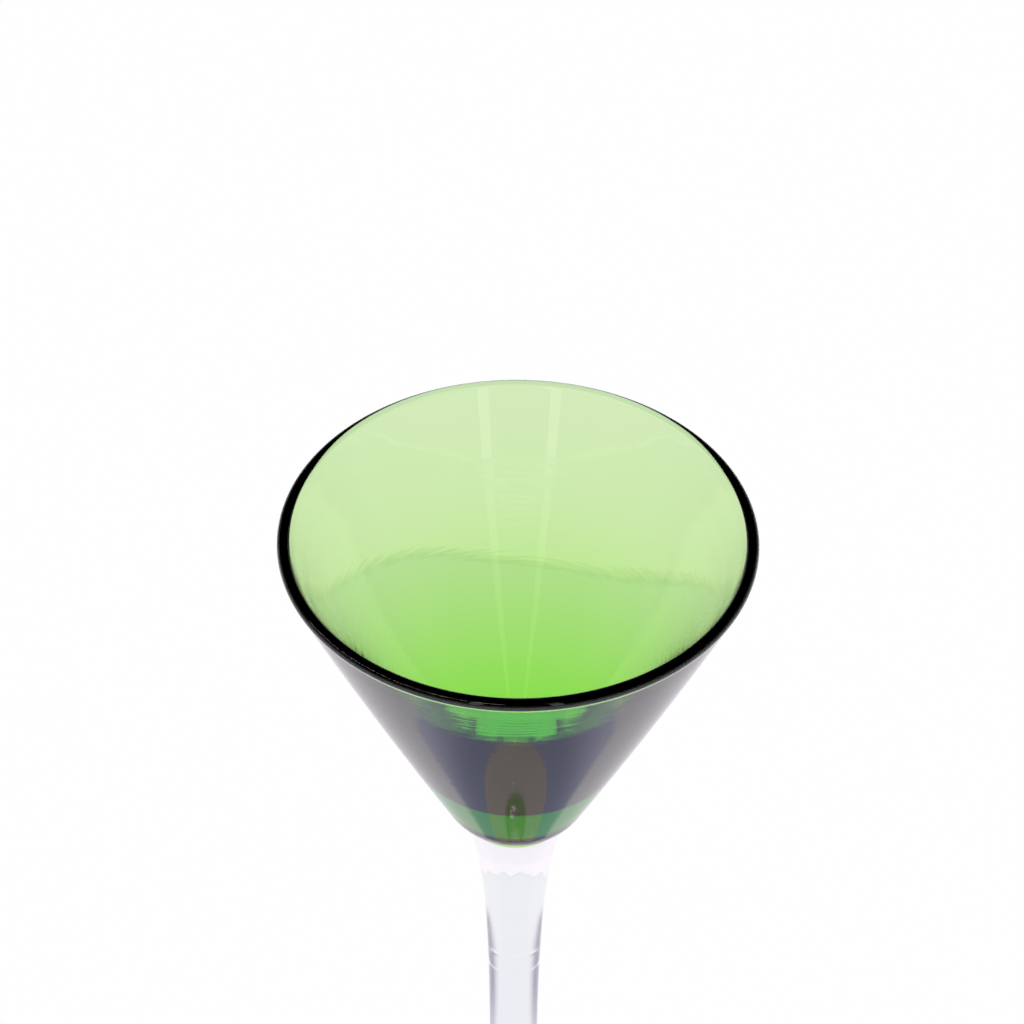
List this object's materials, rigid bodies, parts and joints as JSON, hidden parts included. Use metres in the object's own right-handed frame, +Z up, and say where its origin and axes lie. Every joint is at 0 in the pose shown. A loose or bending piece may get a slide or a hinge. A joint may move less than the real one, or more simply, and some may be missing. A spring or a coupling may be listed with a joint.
{
  "type": "cordial glass",
  "caption": "Small stemmed glass: a deep cone of transparent green glass with a rounded lip and solid base, on a drawn clear stem and a round foot.",
  "frame": {"origin": "centre of the foot's resting ring, on the surface the glass stands on", "axes": "+Z up along the axis of the glass, from foot to lip; the glass is round about Z"},
  "size_m": [0.064, 0.064, 0.15],
  "materials": {
    "green_glass": "clear, fire-polished green glass",
    "clear_glass": "clear, drawn and polished"
  },
  "bodies": {
    "root": {"bowl": "green_glass", "stem_top": "clear_glass", "stem": "clear_glass", "foot": "clear_glass"}
  },
  "joints": []
}
